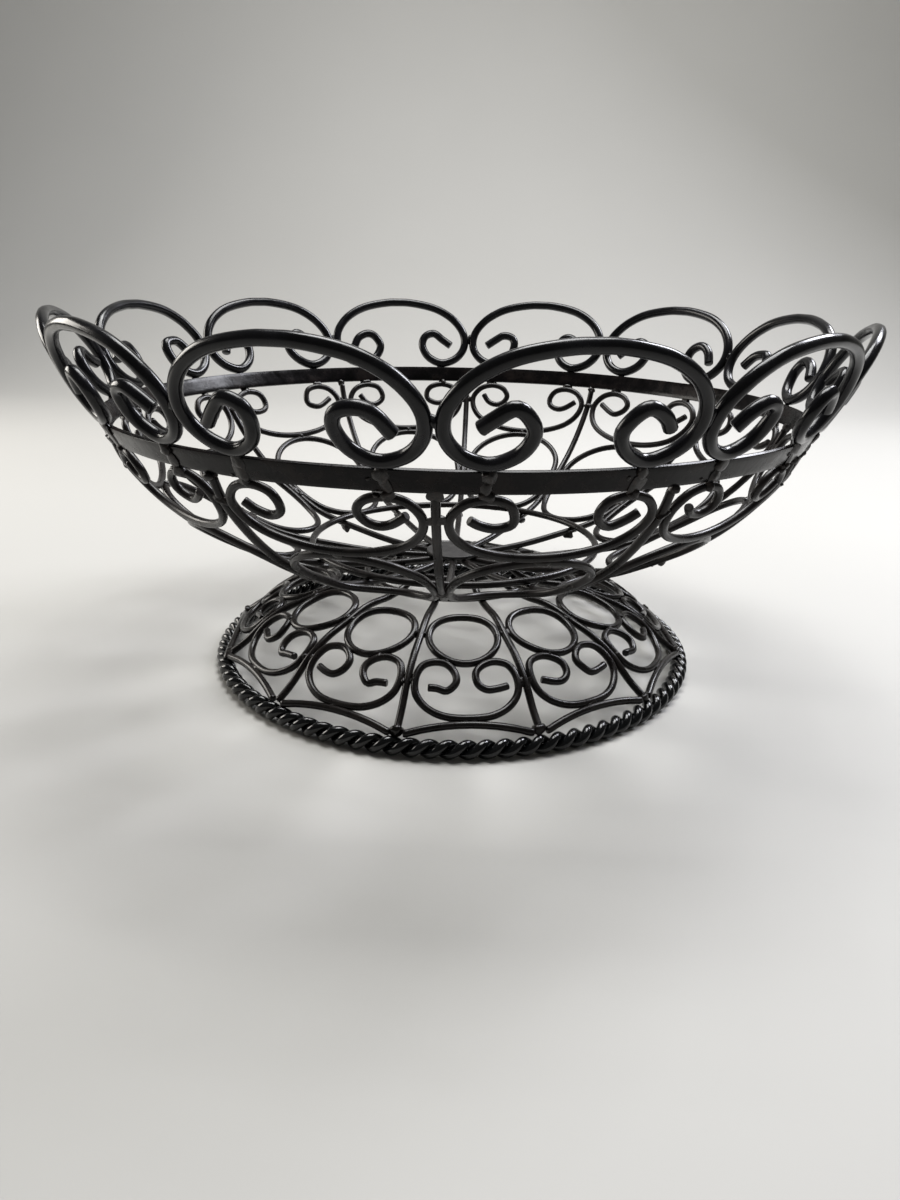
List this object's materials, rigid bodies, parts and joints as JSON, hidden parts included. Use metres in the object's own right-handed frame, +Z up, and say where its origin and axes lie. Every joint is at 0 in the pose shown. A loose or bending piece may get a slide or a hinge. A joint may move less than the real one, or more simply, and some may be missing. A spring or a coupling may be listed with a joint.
{
  "type": "wire basket",
  "caption": "Round footed bowl of black wrought-iron scrollwork, with a petal rim, a flat belt, a domed openwork foot and a twisted rope base ring.",
  "frame": {"origin": "middle of the circle that the rope ring stands on, at table height", "axes": "+Z up along the bowl's axis; -Y is the side seen in the picture, with a bowl rib on it; +X is to the right of that view"},
  "size_m": [0.429, 0.429, 0.2026],
  "materials": {
    "rim_wire": "black paint with a semi-gloss gunmetal sheen on round wire",
    "belt_strip": "black paint, satin, on flat strip, with faint mottling",
    "bowl_wire": "brown-black paint, satin, on thin round wire",
    "foot_wire": "black paint, satin, on thin round wire",
    "rope_wire": "gloss black paint on two twisted round wires"
  },
  "bodies": {
    "root": {"rim_scroll_01": "rim_wire", "rim_scroll_02": "rim_wire", "rim_scroll_03": "rim_wire", "rim_scroll_04": "rim_wire", "rim_scroll_05": "rim_wire", "rim_scroll_06": "rim_wire", "rim_scroll_07": "rim_wire", "rim_scroll_08": "rim_wire", "rim_scroll_09": "rim_wire", "rim_scroll_10": "rim_wire", "rim_scroll_11": "rim_wire", "rim_scroll_12": "rim_wire", "belt_band": "belt_strip", "bowl_panel_01": "bowl_wire", "bowl_panel_02": "bowl_wire", "bowl_panel_03": "bowl_wire", "bowl_panel_04": "bowl_wire", "bowl_panel_05": "bowl_wire", "bowl_panel_06": "bowl_wire", "bowl_panel_07": "bowl_wire", "bowl_panel_08": "bowl_wire", "bowl_panel_09": "bowl_wire", "bowl_panel_10": "bowl_wire", "bowl_panel_11": "bowl_wire", "bowl_panel_12": "bowl_wire", "bowl_rib_01": "bowl_wire", "bowl_rib_02": "bowl_wire", "bowl_rib_03": "bowl_wire", "bowl_rib_04": "bowl_wire", "bowl_rib_05": "bowl_wire", "bowl_rib_06": "bowl_wire", "bowl_rib_07": "bowl_wire", "bowl_rib_08": "bowl_wire", "bowl_rib_09": "bowl_wire", "bowl_rib_10": "bowl_wire", "bowl_rib_11": "bowl_wire", "bowl_rib_12": "bowl_wire", "bowl_floor_ring": "bowl_wire", "centre_plate": "belt_strip", "centre_stud": "bowl_wire", "foot_frame": "foot_wire", "foot_panel_01": "foot_wire", "foot_panel_02": "foot_wire", "foot_panel_03": "foot_wire", "foot_panel_04": "foot_wire", "foot_panel_05": "foot_wire", "foot_panel_06": "foot_wire", "foot_panel_07": "foot_wire", "foot_panel_08": "foot_wire", "foot_panel_09": "foot_wire", "foot_panel_10": "foot_wire", "foot_panel_11": "foot_wire", "foot_panel_12": "foot_wire", "rope_base_ring": "rope_wire"}
  },
  "joints": []
}
